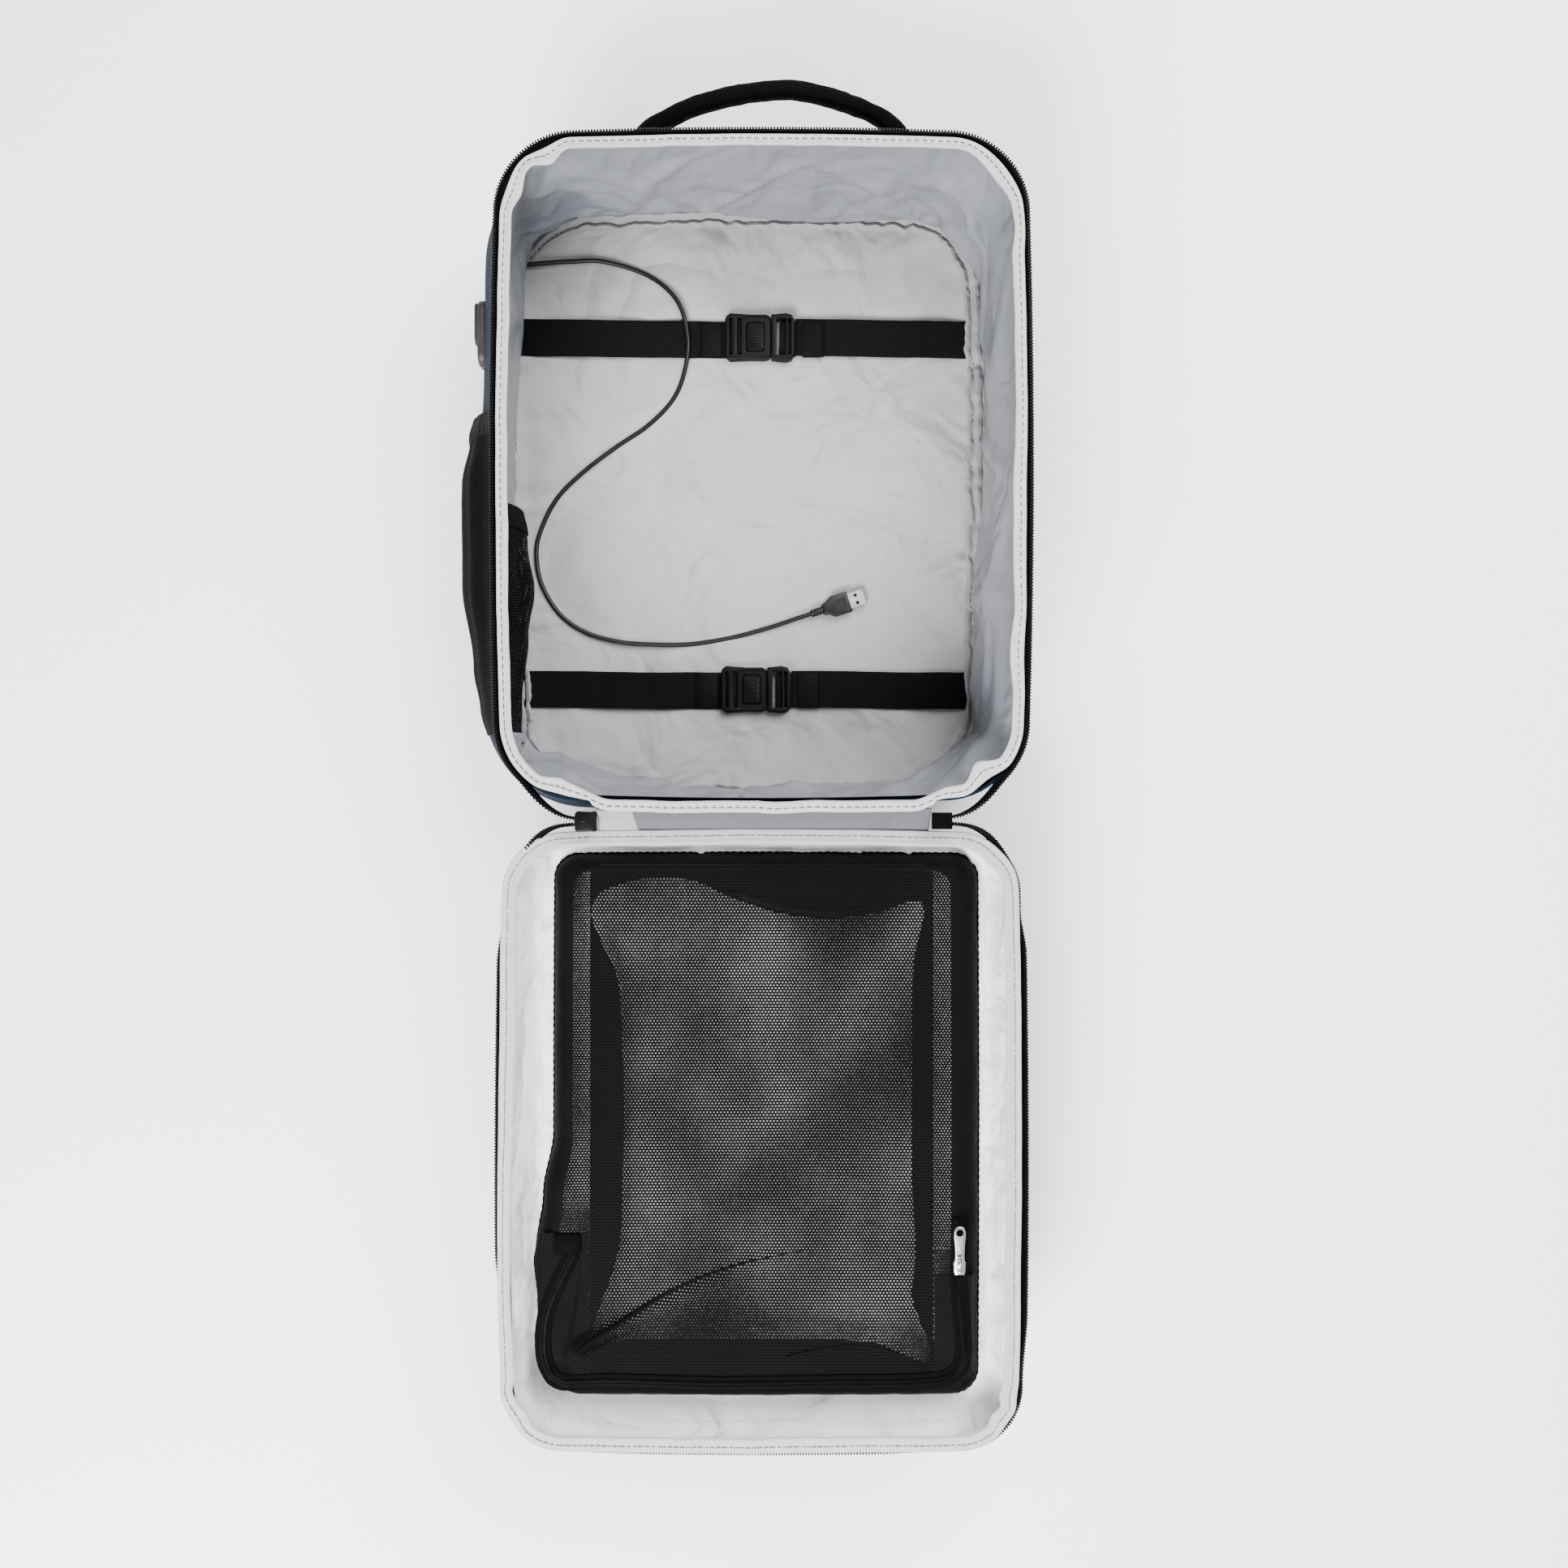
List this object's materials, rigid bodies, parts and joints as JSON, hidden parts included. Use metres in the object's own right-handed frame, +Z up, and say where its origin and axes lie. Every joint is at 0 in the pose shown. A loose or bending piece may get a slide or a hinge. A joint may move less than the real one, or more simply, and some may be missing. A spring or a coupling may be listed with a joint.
{
  "type": "travel backpack",
  "caption": "Clamshell travel backpack lying open: deep lined shell with packing straps, charging lead and side pockets, and a shallow lid with a zipped mesh compartment",
  "frame": {"origin": "on the surface that the shell lies on, under the middle of the open bag's box", "axes": "+X across the bag to its right side, +Y from the lid towards the carry handle, +Z up from the surface, out of the open shell"},
  "size_m": [0.394, 0.966, 0.1545],
  "materials": {
    "shell_fabric": "padded woven polyester, dark petrol blue",
    "foam": "closed-cell foam sheet, hidden",
    "grey_lining": "plain-weave polyester lining, warm grey, slightly crumpled",
    "silver_lining": "satin polyester lining, cool grey",
    "white_lining": "plain-weave polyester lining, near white",
    "shell_binding": "folded binding tape, off-white, lockstitched",
    "lid_binding": "folded binding tape, light grey, lockstitched",
    "zip_tape": "herringbone zip tape, black",
    "zip_coil": "nylon zip coil, black",
    "black_slider": "cast zip slider, black enamel",
    "webbing": "woven webbing, black",
    "elastic": "ribbed woven elastic, black",
    "port_plastic": "moulded plate, grey-brown",
    "port_rubber": "rubber flap, grey-brown",
    "bright_metal": "nickel-plated steel",
    "black_rubber": "soft cable sheath, black",
    "plug_plastic": "soft moulded plug body, black",
    "buckle_plastic": "satin moulded nylon, black",
    "stretch_cloth": "stretch knit cloth, brown-black",
    "mesh": "knitted mesh, black",
    "mesh_edge": "close mesh and binding, black"
  },
  "bodies": {
    "shell": {"shell_back_panel": "shell_fabric", "shell_gusset": "shell_fabric", "back_foam": "foam", "floor_lining": "grey_lining", "wall_lining": "silver_lining", "floor_piping": "grey_lining", "shell_zip_tape": "zip_tape", "shell_zip_coil": "zip_coil", "shell_binding": "shell_binding", "hinge_strip": "white_lining", "zip_end_tab": "zip_tape", "handle_anchors": "webbing", "port_housing": "port_plastic", "port_socket": "bright_metal", "lead_grommet": "black_rubber", "usb_lead": "black_rubber", "plug_overmould": "plug_plastic", "plug_shell": "bright_metal", "plug_insulator": "buckle_plastic", "upper_strap_left": "elastic", "upper_strap_right": "elastic", "upper_buckle_body": "buckle_plastic", "lower_strap_left": "elastic", "lower_strap_right": "elastic", "lower_buckle_body": "buckle_plastic", "outer_pocket": "stretch_cloth", "outer_pocket_hem": "stretch_cloth", "inner_pocket_mesh": "mesh", "inner_pocket_band": "elastic"},
    "lid": {"lid_front_panel": "shell_fabric", "lid_gusset": "shell_fabric", "lid_foam": "foam", "lid_lining": "white_lining", "lid_zip_tape": "zip_tape", "lid_zip_coil": "zip_coil", "lid_binding": "lid_binding", "mesh_border": "mesh_edge", "mesh_gusset": "mesh", "mesh_top": "mesh", "pocket_zip_tape": "zip_tape", "pocket_zip_coil": "zip_coil"},
    "main_slider": {"main_slider": "black_slider"},
    "main_pull": {"main_pull": "black_slider"},
    "handle": {"carry_handle": "webbing"},
    "port_flap": {"port_flap": "port_rubber"},
    "upper_button": {"upper_buckle_button": "buckle_plastic"},
    "upper_tongue": {"upper_buckle_tongue": "buckle_plastic"},
    "lower_button": {"lower_buckle_button": "buckle_plastic"},
    "lower_tongue": {"lower_buckle_tongue": "buckle_plastic"},
    "pocket_slider": {"pocket_slider": "bright_metal"},
    "pocket_pull": {"pocket_pull": "bright_metal"}
  },
  "joints": [
    {"name": "lid_hinge", "type": "hinge", "parent": "shell", "child": "lid", "pos_m": [0.015, -0.027, 0.143], "axis": [-1, 0, 0], "range_deg": [0, 180], "deforming": ["hinge_strip"]},
    {"name": "main_slider_run", "type": "slide", "parent": "shell", "child": "main_slider", "axis": [-1, 0, 0], "range_m": [0, 0.025]},
    {"name": "main_pull_swing", "type": "hinge", "parent": "main_slider", "child": "main_pull", "pos_m": [-0.1068, -0.0275, 0.1376], "axis": [0, 1, 0], "range_deg": [-15, 75]},
    {"name": "handle_swing", "type": "hinge", "parent": "shell", "child": "handle", "pos_m": [0.021, 0.4373, 0.12], "axis": [1, 0, 0], "range_deg": [-45, 60]},
    {"name": "port_flap_hinge", "type": "hinge", "parent": "shell", "child": "port_flap", "pos_m": [-0.1896, 0.3075, 0.092], "axis": [0, 0, 1], "range_deg": [0, 110]},
    {"name": "upper_button_press", "type": "slide", "parent": "shell", "child": "upper_button", "axis": [0, 0, -1], "range_m": [0, 0.0015], "stiffness_N_per_m": 400, "springref_m": -0.001},
    {"name": "upper_tongue_release", "type": "slide", "parent": "shell", "child": "upper_tongue", "axis": [1, 0, 0], "range_m": [0, 0.02], "deforming": ["upper_strap_right"]},
    {"name": "lower_button_press", "type": "slide", "parent": "shell", "child": "lower_button", "axis": [0, 0, -1], "range_m": [0, 0.0015], "stiffness_N_per_m": 400, "springref_m": -0.001},
    {"name": "lower_tongue_release", "type": "slide", "parent": "shell", "child": "lower_tongue", "axis": [1, 0, 0], "range_m": [0, 0.02], "deforming": ["lower_strap_right"]},
    {"name": "pocket_slider_run", "type": "slide", "parent": "lid", "child": "pocket_slider", "axis": [0, -1, 0], "range_m": [0, 0.05]},
    {"name": "pocket_pull_flip", "type": "hinge", "parent": "pocket_slider", "child": "pocket_pull", "pos_m": [0.1505, -0.34, 0.1224], "axis": [1, 0, 0], "range_deg": [0, 165]}
  ]
}
